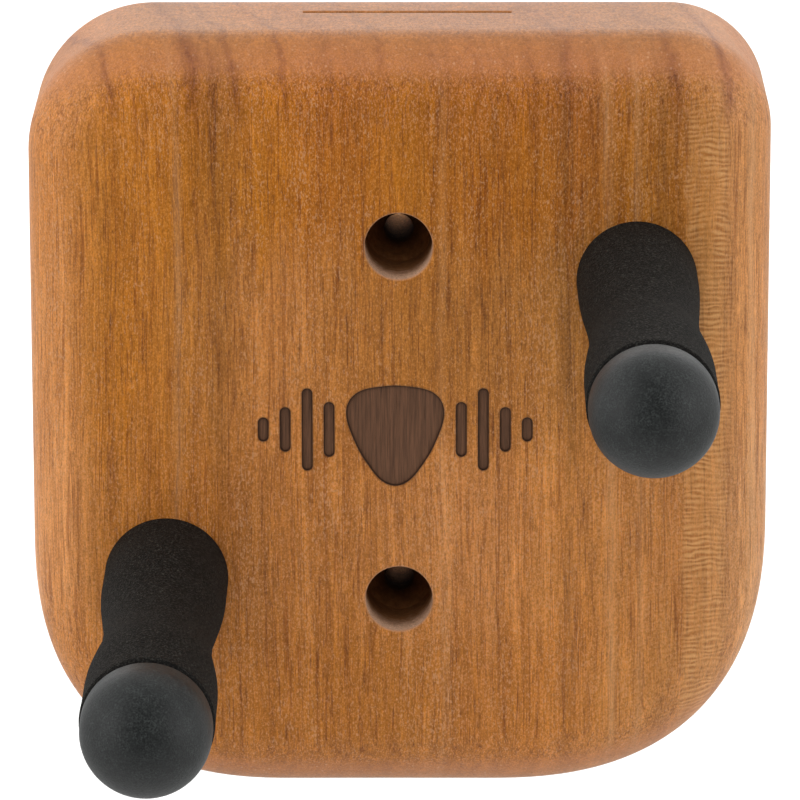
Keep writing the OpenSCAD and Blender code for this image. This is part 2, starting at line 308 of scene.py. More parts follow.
def make_block():
    b = Builder()
    o, n_top = outline()
    m = len(o)
    # rings from the back edge round to the front face
    ease = 0.5
    st = [(ease * (1 - math.cos(a)), -ease + ease * math.cos(a)) for a in ()]
    st = [(ease * (1 - math.sin(a)), -ease * (1 - math.cos(a))) for a in np.linspace(0, math.pi / 2, 5)]
    y_side = -(T - EDGE_R)
    st += [(0.0, y) for y in np.linspace(-ease, y_side, 14)[1:-1]]
    st += [(EDGE_R * (1 - math.cos(a)), y_side - EDGE_R * math.sin(a)) for a in np.linspace(0, math.pi / 2, 30)]
    st += [(EDGE_R + 0.45, -T)]
    # a hand-sanded round-over is never quite even: it wanders inwards a little
    s = np.linspace(0, 1, m, endpoint=False)
    wob = 0.5 + 0.5 * np.stack([np.cos(2 * math.pi * s * k + k) for k in (3, 5, 8)]).mean(0)
    rings = []
    for d, y in st:
        turn = 0.0 if y > y_side - 1e-6 else math.sin(2 * math.asin(min(1, (y_side - y) / EDGE_R)))
        rings.append(b.add(ring_mm(o, d + 0.10 * wob * turn, y)))
    # the flat stretch of the top is filled round the slot, so its quads are left out
    first_side = 4                                   # ring at y = -ease
    last_side = first_side + 13                      # ring at y_side
    for k in range(len(rings) - 1):
        a, c = rings[k], rings[k + 1]
        for i in range(m):
            if first_side <= k < last_side and i < n_top:
                continue
            j = (i + 1) % m
            b.faces.append((a[i], a[j], c[j], c[i]))
    # top: boundary of the flat stretch, and the slot
    r0, r1 = rings[first_side], rings[last_side]
    right = [rings[k][0] for k in range(first_side, last_side + 1)]
    left = [rings[k][n_top] for k in range(first_side, last_side + 1)]
    edge = [r0[i] for i in range(n_top)] + left + [r1[i] for i in range(n_top - 1, 0, -1)] + right[::-1][:-1]
    sx0, sx1, sy, sw = 1.2 - 14.8, 1.2 + 14.8, -7.5, 1.2

    def slot_ring(grow, z, n=7):
        w = sw / 2 + grow
        x0, x1 = sx0 - grow, sx1 + grow
        r = min(0.25 + max(grow, 0), w * 0.9)
        pts = []
        for cx, cy, a0 in ((x1 - r, sy + w - r, 0), (x0 + r, sy + w - r, 90), (x0 + r, sy - w + r, 180), (x1 - r, sy - w + r, 270)):
            for q in np.linspace(a0, a0 + 90, n):
                pts.append((cx + r * math.cos(math.radians(q)), cy + r * math.sin(math.radians(q)), z))
        return np.array(pts)

    slot = [b.add(slot_ring(0.42, Z1)), b.add(slot_ring(0.14, Z1)), b.add(slot_ring(0.04, Z1 - 0.05)), b.add(slot_ring(0.0, Z1 - 0.16), bored=0.5),
            b.add(slot_ring(0.0, Z1 - 1.0), bored=1), b.add(slot_ring(0.0, Z1 - 6), bored=1), b.add(slot_ring(0.0, Z1 - 11.9), bored=1), b.add(slot_ring(-0.1, Z1 - 12), bored=1)]
    for a, c in zip(slot, slot[1:]):
        b.band(a, c)
    b.fill(slot[-1], [], (0, 1))
    gx, gy = np.meshgrid(np.arange(X0 + TOP_L + 2, X1 - TOP_R - 1, 3.0), np.arange(y_side + 2, -ease - 1, 2.6))
    g = np.stack([gx.ravel(), gy.ravel()], 1)
    g = g[loop_dist(g, slot_ring(0.42, 0)[:, :2]) > 0.9]
    g = g[~inside(g, slot_ring(0.42, 0)[:, :2])]
    b.fill(edge, [slot[0]], (0, 1), extra={"co": np.c_[g, np.full(len(g), Z1)]})

    # counterbores and clearance holes, with the drill's faint rings
    n = 160
    holes_front, holes_back = [], []
    ang = np.linspace(0, 2 * math.pi, n, endpoint=False)
    endgrain = np.abs(np.sin(ang)) ** 2              # top and bottom of the hole cut across the fibres
    for hz in (25.75, -25.75):
        prof = [(5.5, -T, 0.0), (5.02, -T, 0.0)]
        prof += [(4.75 + 0.27 * (1 - math.sin(a)), -T + 0.27 * (1 - math.cos(a)), 0.0 + 0.4 * a) for a in np.linspace(0, math.pi / 2, 5)[1:]]
        depth = np.arange(0.55, 10.85, 0.22)
        loops = []
        for r, y, bo in prof:
            loops.append(b.add(circle(0, hz, r, y, n), bored=bo))
        for k, d in enumerate(depth):
            wave = 0.5 + 0.5 * math.sin(d * 2 * math.pi / 0.85)
            tear = value_noise(np.stack([ang * 9, np.full(n, d * 3.1), np.full(n, hz)], 1), 3)
            rr = 4.75 + 0.035 * wave * (0.35 + endgrain) + 0.045 * endgrain * np.maximum(tear, 0)
            c = np.stack([rr * np.cos(ang), np.full(n, -T + d), hz + rr * np.sin(ang)], 1)
            loops.append(b.add(c, bored=1))
        for r in np.arange(4.7, 2.30, -0.13):        # scored floor
            y = -T + 11.0 - 0.05 * (0.5 + 0.5 * math.sin(r * 2 * math.pi / 0.52)) * np.ones(n)
            c = np.stack([r * np.cos(ang), y, hz + r * np.sin(ang)], 1)
            loops.append(b.add(c, bored=1))
        for r, y in ((2.16, -T + 11.03), (2.1, -T + 11.12), (2.1, -T + 14), (2.1, -10), (2.1, -4), (2.1, -0.3), (2.1, 0), (2.7, 0)):
            loops.append(b.add(circle(0, hz, r, y, n), bored=0 if y > -0.2 else 1))
        for a, c in zip(loops, loops[1:]):
            b.band(a, c)
        holes_front.append(loops[0])
        holes_back.append(loops[-1])

    # sockets for the brass inserts (hidden by the sleeves)
    for side in ("left", "right"):
        px, pz, _, _ = peg_frame(side)
        loops = [b.add(circle(px, pz, r, y, 96), bored=bo) for r, y, bo in
                 ((5.5, -T, 0), (5.5, -T + 16, 1), (4.2, -T + 16, 1), (4.2, -T + 19.5, 1))]
        for a, c in zip(loops, loops[1:]):
            b.band(a, c)
            b.crease(a)
            b.crease(c)
        b.fill(loops[-1], [], (0, 2))
        holes_front.append(loops[0])

    # burnt ornament: crisp lip, sloping wall, slightly uneven floor
    for lp in mark_loops():
        def at(p, y):
            return np.stack([p[:, 0], np.full(len(p), y) if np.isscalar(y) else y, p[:, 1]], 1)
        halo = b.add(at(offset_loop(lp, 0.30), -T), burn=0)
        lip0 = b.add(at(offset_loop(lp, 0.05), -T), burn=0.55)
        lip = b.add(at(lp, -T + 0.03), burn=1, cut=0.3)
        foot = b.add(at(offset_loop(lp, -0.07), -T + MARK_DEPTH), burn=1, cut=1)
        inner = b.add(at(offset_loop(lp, -0.20), -T + MARK_DEPTH), burn=0.35, cut=1)
        core = b.add(at(offset_loop(lp, -0.36), -T + MARK_DEPTH - 0.01), burn=0, cut=1)
        b.band(halo, lip0)
        b.band(lip0, lip)
        b.band(lip, foot)
        b.band(foot, inner)
        b.band(inner, core)
        b.crease(lip)
        b.crease(foot)
        cp = offset_loop(lp, -0.36)
        lo, hi = cp.min(0), cp.max(0)
        gx, gz = np.meshgrid(np.arange(lo[0], hi[0], 0.26), np.arange(lo[1], hi[1], 0.36))
        g = np.stack([gx.ravel(), gz.ravel()], 1)
        g = g[inside(g, cp)]
        ex = None
        if len(g):
            g = g[loop_dist(g, cp) > 0.12]
        if len(g):
            y = -T + MARK_DEPTH - 0.012 + 0.02 * value_noise(np.stack([g[:, 0] * 3.4, g[:, 0] * 0, g[:, 1] * 0.35], 1), 9)
            ex = {"co": at(g, y)}
        b.fill(core, [], (0, 2), extra=ex, attr={"burn": 0, "cut": 1})
        holes_front.append(halo)

    # front face, on a loose grid so that no triangle is a long sliver
    front = np.array(b.co)[rings[-1]][:, [0, 2]]
    gx, gz = np.meshgrid(np.arange(X0, X1, 2.6), np.arange(Z0, Z1, 2.6))
    g = np.stack([gx.ravel(), gz.ravel()], 1) + 0.13
    ok = inside(g, front) & (loop_dist(g, front) > 1.0)
    for h in holes_front:
        hp = np.array(b.co)[h][:, [0, 2]]
        ok &= ~inside(g, hp) & (loop_dist(g, hp) > 0.7)
    g = g[ok]
    b.fill(rings[-1], holes_front, (0, 2), extra={"co": np.stack([g[:, 0], np.full(len(g), -T), g[:, 1]], 1)})
    # back face
    back = np.array(b.co)[rings[0]][:, [0, 2]]
    gx, gz = np.meshgrid(np.arange(X0, X1, 4.0), np.arange(Z0, Z1, 4.0))
    g = np.stack([gx.ravel(), gz.ravel()], 1) + 0.21
    ok = inside(g, back) & (loop_dist(g, back) > 1.4)
    for h in holes_back:
        hp = np.array(b.co)[h][:, [0, 2]]
        ok &= ~inside(g, hp) & (loop_dist(g, hp) > 1.0)
    g = g[ok]
    b.fill(rings[0], holes_back, (0, 2), extra={"co": np.stack([g[:, 0], np.zeros(len(g)), g[:, 1]], 1)})
    return b.build("oiled_wood_plate")


# ------------------------------------------------------------------- pegs
def ease01(u):
    u = np.clip(u, 0, 1)
    return u * u * (3 - 2 * u)


PEGS = {"left": {"base": 8.8, "flare": 9.05, "cap": 8.8, "taper": 0.15},
        "right": {"base": 8.5, "flare": 8.8, "cap": 8.55, "taper": 0.10}}
CAP_EDGE = 2.6
RIM_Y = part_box("left_foam_sleeve")[0][1] / MM     # outer end of the sleeves


def sleeve_radius(t, L, base, flare, taper, waist=7.6):
    return np.where(t < 0.46 * L, base + (waist - base) * ease01((t - taper * L) / ((0.46 - taper) * L)),
                    np.where(t < 0.52 * L, waist, waist + (flare - waist) * ease01((t - 0.52 * L) / (0.30 * L))))


def lathe(name, px, pz, prof, n, jitter=None, closed_profile=False, bored=0.0):
    """Turns prof, an array of (radius, distance from the face), about a peg axis.
    jitter(points, t, angle) returns a radial change in mm."""
    b = Builder()
    ang = np.linspace(0, 2 * math.pi, n, endpoint=False)
    loops = []
    for r, t in prof:
        if r < 1e-6:
            loops.append(b.add([(px, -T - t, pz)]))
            continue
        rr = np.full(n, r)
        c = np.stack([px + rr * np.cos(ang), np.full(n, -T - t), pz + rr * np.sin(ang)], 1)
        if jitter is not None:
            rr = rr + jitter(c, t, ang, r)
            c = np.stack([px + rr * np.cos(ang), np.full(n, -T - t), pz + rr * np.sin(ang)], 1)
        loops.append(b.add(c))
    pairs = list(zip(loops, loops[1:]))
    if closed_profile:
        pairs.append((loops[-1], loops[0]))
    for a, c in pairs:
        if len(a) == 1 or len(c) == 1:
            hub, rim = (a[0], c) if len(a) == 1 else (c[0], a)
            for i in range(n):
                b.faces.append((rim[i], rim[(i + 1) % n], hub))
        else:
            b.band(a, c)
    return b.build(name)


def make_sleeve(side):
    px, pz, L, tip = peg_frame(side)
    seed = 5 if side == "left" else 11
    base, flare, taper = (PEGS[side][k] for k in ("base", "flare", "taper"))
    t = np.r_[0.42, np.arange(0.75, L - 1.5, 0.27)]
    outer = [(float(sleeve_radius(x, L, base, flare, taper)), float(x)) for x in t]
    r_end = float(sleeve_radius(L - 1.5, L, base, flare, taper))
    foot = [(6.45, 0.03), (7.6, 0.03), (base - 0.45, 0.03), (base - 0.18, 0.10), (base - 0.04, 0.24)]
    rim = [(r_end - 0.9 * (1 - math.cos(a)), L - 1.25 + 1.15 * math.sin(a)) for a in np.linspace(0.15, math.pi / 2, 9)]
    inner = [(7.4, L - 0.08), (6.25, L - 0.08), (6.25, L - 5), (6.25, L - 10.05), (5.2, L - 10.05), (4.05, L - 10.05), (4.05, 40), (4.05, 20), (4.05, 4.05), (5.2, 4.05), (6.45, 4.05)]
    prof = foot + outer + rim + inner
    keep = len(foot) + len(outer) + len(rim)

    def jit(c, tt, ang, r):
        if r < 8.0 and (tt < 0.1 or tt > L - 0.3):
            return 0.0
        if r < 7.0:
            return 0.0
        fine = value_noise(c * 2.6, seed)
        mid = value_noise(c * 0.7 + 40, seed + 1)
        slow = value_noise(c * 0.12 + 90, seed + 2)
        k = min(1, max(0.0, (L - 0.8 - tt) / 3.5)) * min(1, max(0.0, (tt - 0.05) / 0.8))
        # only ever inwards at the flare, so the piece stays inside the solid
        return k * (0.022 * (fine - 1) + 0.028 * (mid - 1) + 0.05 * (slow - 1)) * 0.5
    return lathe("foam_grip_" + side, px, pz, prof, 224, jit, closed_profile=True)


def make_cap(side):
    px, pz, L, tip = peg_frame(side)
    rc, rf = PEGS[side]["cap"], 0.35
    h = tip - L - CAP_EDGE
    # eased where it meets the foam, a short straight edge, then a deep dome
    lip = [(rc - rf - 0.5, L + 0.01)] + [(rc - rf + rf * math.sin(a), L + 0.01 + rf - rf * math.cos(a)) for a in np.linspace(0, math.pi / 2, 7)]
    lip += [(rc, x) for x in np.linspace(L + 0.7, L + CAP_EDGE, 6)[:-1]]
    dome = [(rc * math.cos(a), L + CAP_EDGE + h * math.sin(a)) for a in np.linspace(0, math.pi / 2, 72)[:-1]]
    under = [(0, L - 10), (5.6, L - 10), (6.05, L - 9.8), (6.18, L - 9.4), (6.18, L - 5), (6.18, L), (7.2, L)]
    prof = under + lip + dome + [(0, tip)]

    def jit(c, tt, ang, r):
        if tt < L + 0.6:
            return 0.0
        return min(1.0, (tt - L - 0.6) / 2) * 0.012 * (value_noise(c * 0.9, 21) - 1) * 0.5
    return lathe("rubber_dome_" + side, px, pz, prof, 224, jit)


# -------------------------------------------------------------- materials
class Nodes:
    def __init__(self, name):
        self.mat = bpy.data.materials.new(name)
        self.mat.use_nodes = True
        self.t = self.mat.node_tree
        self.t.nodes.clear()
        self.out = self.t.nodes.new("ShaderNodeOutputMaterial")
        self.bsdf = self.t.nodes.new("ShaderNodeBsdfPrincipled")
        self.t.links.new(self.bsdf.outputs[0], self.out.inputs["Surface"])

    def put(self, sock, v):
        if hasattr(v, "is_output") or isinstance(v, bpy.types.NodeSocket):
            self.t.links.new(v, sock)
        else:
            sock.default_value = v

    def coords(self):
        n = self.t.nodes.new("ShaderNodeTexCoord")
        return self.vscale(n.outputs["Object"], 1000.0)

    def vscale(self, v, k):
        n = self.t.nodes.new("ShaderNodeVectorMath")
        n.operation = "SCALE"
        self.put(n.inputs[0], v)
        self.put(n.inputs["Scale"], k)
        return n.outputs[0]

    def vmul(self, v, xyz):
        n = self.t.nodes.new("ShaderNodeVectorMath")
        n.operation = "MULTIPLY"
        self.put(n.inputs[0], v)
        self.put(n.inputs[1], xyz)
        return n.outputs[0]

    def vadd(self, v, w):
        n = self.t.nodes.new("ShaderNodeVectorMath")
        n.operation = "ADD"
        self.put(n.inputs[0], v)
        self.put(n.inputs[1], w)
        return n.outputs[0]

    def sep(self, v):
        n = self.t.nodes.new("ShaderNodeSeparateXYZ")
        self.put(n.inputs[0], v)
        return n.outputs[0], n.outputs[1], n.outputs[2]

    def comb(self, x, y, z):
        n = self.t.nodes.new("ShaderNodeCombineXYZ")
        self.put(n.inputs[0], x)
        self.put(n.inputs[1], y)
        self.put(n.inputs[2], z)
        return n.outputs[0]

    def m(self, op, a, b=0.0, c=0.0, clamp=False):
        n = self.t.nodes.new("ShaderNodeMath")
        n.operation = op
        n.use_clamp = clamp
        self.put(n.inputs[0], a)
        self.put(n.inputs[1], b)
        self.put(n.inputs[2], c)
        return n.outputs[0]

    def noise(self, v, scale=1.0, detail=2.0, rough=0.5, dist=0.0, color=False):
        n = self.t.nodes.new("ShaderNodeTexNoise")
        self.put(n.inputs["Vector"], v)
        self.put(n.inputs["Scale"], scale)
        self.put(n.inputs["Detail"], detail)
        self.put(n.inputs["Roughness"], rough)
        self.put(n.inputs["Distortion"], dist)
        return n.outputs["Color" if color else "Fac"]

    def voronoi(self, v, scale=1.0, feature="F1", rand=1.0, out="Distance"):
        n = self.t.nodes.new("ShaderNodeTexVoronoi")
        n.feature = feature
        self.put(n.inputs["Vector"], v)
        self.put(n.inputs["Scale"], scale)
        self.put(n.inputs["Randomness"], rand)
        return n.outputs[out]

    def span(self, v, a, b, c=0.0, d=1.0, smooth=False):
        """Maps a..b to c..d, clamped."""
        n = self.t.nodes.new("ShaderNodeMapRange")
        n.clamp = True
        n.interpolation_type = "SMOOTHSTEP" if smooth else "LINEAR"
        self.put(n.inputs["Value"], v)
        for k, x in zip(("From Min", "From Max", "To Min", "To Max"), (a, b, c, d)):
            self.put(n.inputs[k], x)
        return n.outputs[0]

    def ramp(self, v, stops, mode="LINEAR"):
        n = self.t.nodes.new("ShaderNodeValToRGB")
        self.put(n.inputs[0], v)
        cr = n.color_ramp
        cr.interpolation = mode
        while len(cr.elements) > 1:
            cr.elements.remove(cr.elements[-1])
        cr.elements[0].position = stops[0][0]
        cr.elements[0].color = (*stops[0][1], 1)
        for p, c in stops[1:]:
            e = cr.elements.new(p)
            e.color = (*c, 1)
        return n.outputs[0]

    def mix(self, fac, a, b, blend="MIX"):
        n = self.t.nodes.new("ShaderNodeMix")
        n.data_type = "RGBA"
        n.blend_type = blend
        n.clamp_factor = True
        self.put(n.inputs[0], fac)
        self.put(n.inputs[6], a if not isinstance(a, tuple) else (*a, 1) if len(a) == 3 else a)
        self.put(n.inputs[7], b if not isinstance(b, tuple) else (*b, 1) if len(b) == 3 else b)
        return n.outputs[2]

    def gain(self, col, fac, amount):
        """Multiplies a colour by 1 + amount * (fac - 0.5) * 2."""
        k = self.m("ADD", self.m("MULTIPLY", self.m("SUBTRACT", fac, 0.5), 2 * amount), 1.0)
        return self.vscale(col, k)

    def attr(self, name):
        n = self.t.nodes.new("ShaderNodeAttribute")
        n.attribute_name = name
        return n.outputs["Fac"]

    def normal(self):
        n = self.t.nodes.new("ShaderNodeNewGeometry")
        return n.outputs["Normal"]

    def bump(self, height, dist, strength=1.0, normal=None):
        n = self.t.nodes.new("ShaderNodeBump")
        self.put(n.inputs["Height"], height)
        self.put(n.inputs["Distance"], dist)
        self.put(n.inputs["Strength"], strength)
        if normal is not None:
            self.put(n.inputs["Normal"], normal)
        return n.outputs[0]


def srgb(r, g, b):
    def f(c):
        c /= 255.0
        return c / 12.92 if c <= 0.04045 else ((c + 0.055) / 1.055) ** 2.4
    return (f(r), f(g), f(b))


def tone_band(n, u, stops, haze=(0.011, 0.018, 0.026), k=0.655):
    """Colour across the board, from u in mm; the stops are sRGB looks."""
    out = []
    for x, c in stops:
        lin = [max(0.004, (v - h) / k) for v, h in zip(srgb(*c), haze)]
        out.append(((x + 65.0 + 2.0) / 114.0, tuple(lin)))
    return n.ramp(n.span(u, -65.0, 49.0), out, "B_SPLINE")


def wood_material():
    n = Nodes("oiled_hardwood")
    P = n.coords()
    # slow wander of the fibres along the board
    wander = n.noise(n.vmul(P, (0.030, 0.030, 0.012)), 1.0, 1.0, 0.5, color=True)
    wander = n.vmul(n.vadd(wander, (-0.5, -0.5, -0.5)), (3.0, 3.0, 0.0))
    small = n.noise(n.vmul(P, (0.16, 0.16, 0.05)), 1.0, 1.0, 0.5, color=True)
    small = n.vmul(n.vadd(small, (-0.5, -0.5, -0.5)), (0.8, 0.8, 0.0))
    Q = n.vadd(n.vadd(P, wander), small)
    x, y, z = n.sep(Q)
    px, py, pz = n.sep(P)
    # growth rings lie nearly square to the face: u is constant on a ring
    u = n.m("ADD", x, n.m("MULTIPLY", y, 0.28))
    # tone across the board at four heights, then blended
    high = tone_band(n, u, [
        (-65, (190, 124, 70)), (-57.5, (182, 118, 66)), (-53.6, (174, 113, 60)), (-49.6, (165, 103, 50)), (-45.7, (175, 110, 52)),
        (-41.7, (164, 102, 48)), (-37.8, (147, 92, 46)), (-33.8, (157, 101, 53)), (-29.9, (166, 103, 46)), (-25.9, (164, 101, 44)),
        (-20.0, (154, 92, 34)), (-14.0, (151, 92, 36)), (-8.0, (162, 101, 45)), (-3.0, (149, 91, 36)), (3.7, (150, 91, 35)),
        (9.6, (158, 97, 35)), (13.6, (139, 84, 30)), (17.5, (146, 87, 33)), (23.4, (152, 96, 44)), (29.4, (142, 88, 42)),
        (33.5, (158, 102, 55)), (37.2, (174, 119, 74)), (42, (176, 120, 76))])
    middle = tone_band(n, u, [
        (-65, (192, 130, 80)), (-57.5, (184, 122, 72)), (-53.6, (171, 110, 58)), (-49.6, (164, 103, 50)), (-45.7, (168, 106, 54)),
        (-41.7, (166, 107, 57)), (-37.8, (161, 105, 59)), (-33.8, (160, 106, 62)), (-29.9, (173, 113, 67)), (-25.9, (174, 114, 68)),
        (-20.0, (163, 106, 61)), (-12.0, (157, 102, 58)), (-6.0, (157, 102, 57)), (-2.0, (152, 99, 57)), (3.7, (153, 100, 58)),
        (9.6, (162, 106, 60)), (13.6, (154, 103, 59)), (20.0, (150, 98, 54)), (26.0, (150, 98, 54)), (30.0, (146, 96, 54)),
        (33.5, (152, 106, 67)), (37.2, (174, 119, 74)), (42, (178, 122, 78))])
    # the low and foot bands hold real tone and also painted reflection: the paler, greyer sheen of the lower face is
    # part of their colours
    low = tone_band(n, u, [
        (-65, (194, 134, 86)), (-57.5, (190, 129, 80)), (-53.6, (174, 115, 66)), (-49.6, (168, 108, 58)), (-41.7, (164, 104, 56)),
        (-35.0, (160, 102, 56)), (-29.9, (155, 101, 59)), (-25.9, (166, 107, 61)), (-20.0, (164, 106, 60)), (-14.0, (166, 109, 64)),
        (-8.0, (172, 113, 66)), (-2.0, (180, 120, 73)), (3.7, (173, 114, 69)), (9.6, (180, 119, 68)), (13.6, (178, 117, 66)),
        (17.5, (167, 109, 62)), (23.4, (174, 115, 67)), (29.4, (171, 112, 66)), (33.5, (170, 114, 70)), (37.2, (176, 124, 80)), (42, (178, 126, 82))])
    foot = tone_band(n, u, [
        (-65, (186, 124, 70)), (-50, (166, 105, 56)), (-37.8, (164, 104, 54)), (-29.9, (159, 101, 54)), (-22.0, (164, 104, 55)),
        (-14.0, (157, 100, 53)), (-8.0, (158, 101, 54)), (-2.0, (166, 107, 60)), (5.0, (164, 104, 56)), (13.6, (167, 107, 59)),
        (20.0, (170, 111, 62)), (27.0, (175, 118, 69)), (33.5, (172, 116, 70)), (42, (178, 126, 82))])
    zw = n.m("ADD", pz, n.m("MULTIPLY", n.m("SUBTRACT", n.noise(n.comb(n.m("MULTIPLY", u, 0.35), 0.0, 0.0), 1.0, 2.0, 0.6), 0.5), 34.0))
    tone = n.mix(n.span(zw, 32.0, 18.0, 0.0, 1.0, True), n.vscale(high, 0.955), middle)
    tone = n.mix(n.span(zw, 4.0, -10.0, 0.0, 1.0, True), tone, low)
    col = n.mix(n.span(zw, -24.0, -36.0, 0.0, 1.0, True), tone, foot)
    # long soft streaks, the width of a growth ring and narrower
    ring = n.noise(n.comb(n.m("MULTIPLY", u, 0.50), n.m("MULTIPLY", y, 0.03), n.m("MULTIPLY", z, 0.012)), 1.0, 3.0, 0.62)
    col = n.gain(col, ring, 0.36)
    # streaks about a millimetre wide
    mid = n.noise(n.comb(x, y, n.m("MULTIPLY", z, 0.055)), 1.25, 3.0, 0.66)
    col = n.gain(col, mid, 0.42)
    # single fibres
    fine = n.noise(n.comb(x, y, n.m("MULTIPLY", z, 0.055)), 4.2, 2.0, 0.62)
    col = n.gain(col, fine, 0.48)
    # broken, speckled surface of the cut fibres
    speck = n.noise(n.vmul(P, (1.0, 1.0, 0.72)), 4.6, 2.0, 0.62)
    col = n.gain(col, n.m("MINIMUM", speck, 0.5), 0.68)
    grain_tip = n.ramp(n.span(pz, -56.0, 56.0), [(0.40, (0.95, 0.50, 0.28)), (0.60, (0.95, 0.47, 0.15)), (0.84, (0.95, 0.47, 0.15)), (0.93, (0.95, 0.52, 0.38))])
    col = n.mix(n.span(speck, 0.5, 0.72, 0.0, 0.33), col, grain_tip)
    speck2 = n.noise(n.vmul(P, (1.0, 1.0, 0.60)), 2.1, 1.0, 0.5)
    col = n.gain(col, speck2, 0.12)
    cloud = n.noise(n.vmul(P, (0.62, 0.62, 0.30)), 1.0, 3.0, 0.62)
    col = n.gain(col, cloud, 0.10)
    # warmer in the dark streaks, paler and pinker in the light ones
    tint = n.m("ADD", n.m("MULTIPLY", n.m("SUBTRACT", mid, 0.5), 2.0), n.m("MULTIPLY", n.m("SUBTRACT", ring, 0.5), 2.0))
    col = n.mix(n.span(tint, 0.0, -0.5, 0.0, 0.5), col, n.mix(1.0, col, (1.0, 0.90, 0.72), "MULTIPLY"))
    col = n.mix(n.span(tint, 0.05, 0.6, 0.0, 0.6), col, n.mix(1.0, col, (1.0, 1.05, 1.22), "MULTIPLY"))
    # open pores: short dark dashes along the fibres, dots on end grain
    dens = n.noise(n.comb(n.m("MULTIPLY", u, 0.30), 0.0, n.m("MULTIPLY", z, 0.02)), 1.0, 2.0, 0.6)
    pore_n = n.noise(n.comb(x, y, n.m("MULTIPLY", z, 0.14)), 3.9, 1.0, 0.4)
    edge = n.span(dens, 0.30, 0.70, 0.71, 0.60)
    pore = n.m("DIVIDE", n.m("SUBTRACT", pore_n, edge), 0.08, clamp=True)
    col = n.mix(n.m("MULTIPLY", pore, 0.50), col, n.mix(1.0, col, (0.50, 0.42, 0.40), "MULTIPLY"))
    dash_n = n.noise(n.comb(x, y, n.m("MULTIPLY", z, 0.038)), 3.3, 1.0, 0.45)
    dash = n.m("DIVIDE", n.m("SUBTRACT", dash_n, n.span(dens, 0.35, 0.65, 0.72, 0.65)), 0.07, clamp=True)
    col = n.mix(n.m("MULTIPLY", dash, 0.72), col, n.mix(1.0, col, (0.54, 0.46, 0.42), "MULTIPLY"))
    # hairlines: long thin vessels, broken where they leave the surface
    def hairs(freq, shift, width, cover):
        h = n.noise(n.vadd(n.comb(n.m("MULTIPLY", x, freq), n.m("MULTIPLY", y, freq), n.m("MULTIPLY", z, freq * 0.015)), shift), 1.0, 2.0, 0.55)
        h = n.span(n.m("ABSOLUTE", n.m("SUBTRACT", h, 0.5)), 0.0, width, 1.0, 0.0, True)
        gate = n.noise(n.vadd(n.comb(n.m("MULTIPLY", x, 1.3), n.m("MULTIPLY", y, 1.3), n.m("MULTIPLY", z, 0.07)), shift), 1.0, 2.0, 0.6)
        return n.m("MULTIPLY", h, n.span(gate, 0.5 - cover, 0.62 - cover, 0.0, 1.0, True))
    hair = n.m("MAXIMUM", hairs(0.62, (3.1, 0.0, 7.7), 0.036, 0.02), n.m("MULTIPLY", hairs(1.15, (41.0, 13.0, 2.2), 0.044, 0.06), 0.75))
    col = n.mix(n.m("MULTIPLY", hair, 0.88), col, n.mix(1.0, col, (0.58, 0.48, 0.38), "MULTIPLY"))
    # pale flecks of cut fibre ends
    fleck_n = n.noise(n.comb(x, y, n.m("MULTIPLY", z, 0.50)), 3.9, 1.0, 0.5)
    patch = n.noise(n.comb(n.m("MULTIPLY", u, 0.13), 0.0, n.m("MULTIPLY", z, 0.022)), 1.0, 2.0, 0.6)
    fleck = n.m("DIVIDE", n.m("SUBTRACT", fleck_n, n.span(patch, 0.40, 0.62, 0.64, 0.54)), 0.12, clamp=True)
    col = n.mix(n.m("MULTIPLY", fleck, 0.42), col, srgb(226, 172, 128))
    # dark growth lines, plain on the end grain and fading down the face
    uu = n.m("ADD", u, n.m("MULTIPLY", n.m("SUBTRACT", n.noise(n.vmul(P, (0.10, 0.25, 0.10)), 1.0, 2.0, 0.6), 0.5), 3.0))

    def line_set(v, items):
        stops = [(-65.0, 0.0)]
        for at, w, a in items:
            stops += [(at - w, 0), (at, a), (at + w, 0)]
        return n.ramp(n.span(v, -65.0, 49.0), [((q + 65.0) / 114.0, (a, a, a)) for q, a in stops])

    line = n.m("MAXIMUM",
               line_set(uu, ((-48.2, 0.7, 0.80), (-41.8, 0.5, 0.25), (-36.0, 1.9, 1.00), (-33.2, 0.5, 0.75), (-30.6, 0.8, 1.00), (-23.8, 0.7, 1.00), (-17.0, 0.6, 0.25), (-9.7, 1.0, 0.55), (-2.0, 0.6, 0.35))),
               line_set(uu, ((3.5, 0.8, 0.35), (11.5, 0.6, 0.35), (16.8, 1.1, 0.65), (24.6, 0.6, 0.30), (31.2, 1.5, 0.70), (39.2, 1.5, 1.00))))
    # a few rings stay darker or paler all the way down the face
    broken = n.span(n.noise(n.comb(n.m("MULTIPLY", u, 0.8), 0.0, n.m("MULTIPLY", z, 0.05)), 1.0, 2.0, 0.6), 0.36, 0.62, 0.25, 1.0)
    dull = line_set(u, ((-33.0, 1.6, 0.35), (-6.0, 1.0, 0.25), (5.6, 1.1, 0.30), (15.6, 1.4, 0.60), (29.6, 1.8, 0.42)))
    col = n.mix(n.m("MULTIPLY", dull, broken), col, n.mix(1.0, col, (0.62, 0.62, 0.66), "MULTIPLY"))
    pale = line_set(u, ((-39.0, 0.9, 0.30), (-1.6, 0.8, 0.22), (21.8, 1.1, 0.34), (26.0, 0.8, 0.25), (43.0, 1.2, 0.45)))
    col = n.mix(n.m("MULTIPLY", pale, broken), col, srgb(230, 178, 128))
    line = n.m("MULTIPLY", line, n.span(pz, 42.0, 47.5, 0.18, 1.0, True))
    line = n.m("MULTIPLY", line, n.span(mid, 0.30, 0.62, 1.15, 0.70))
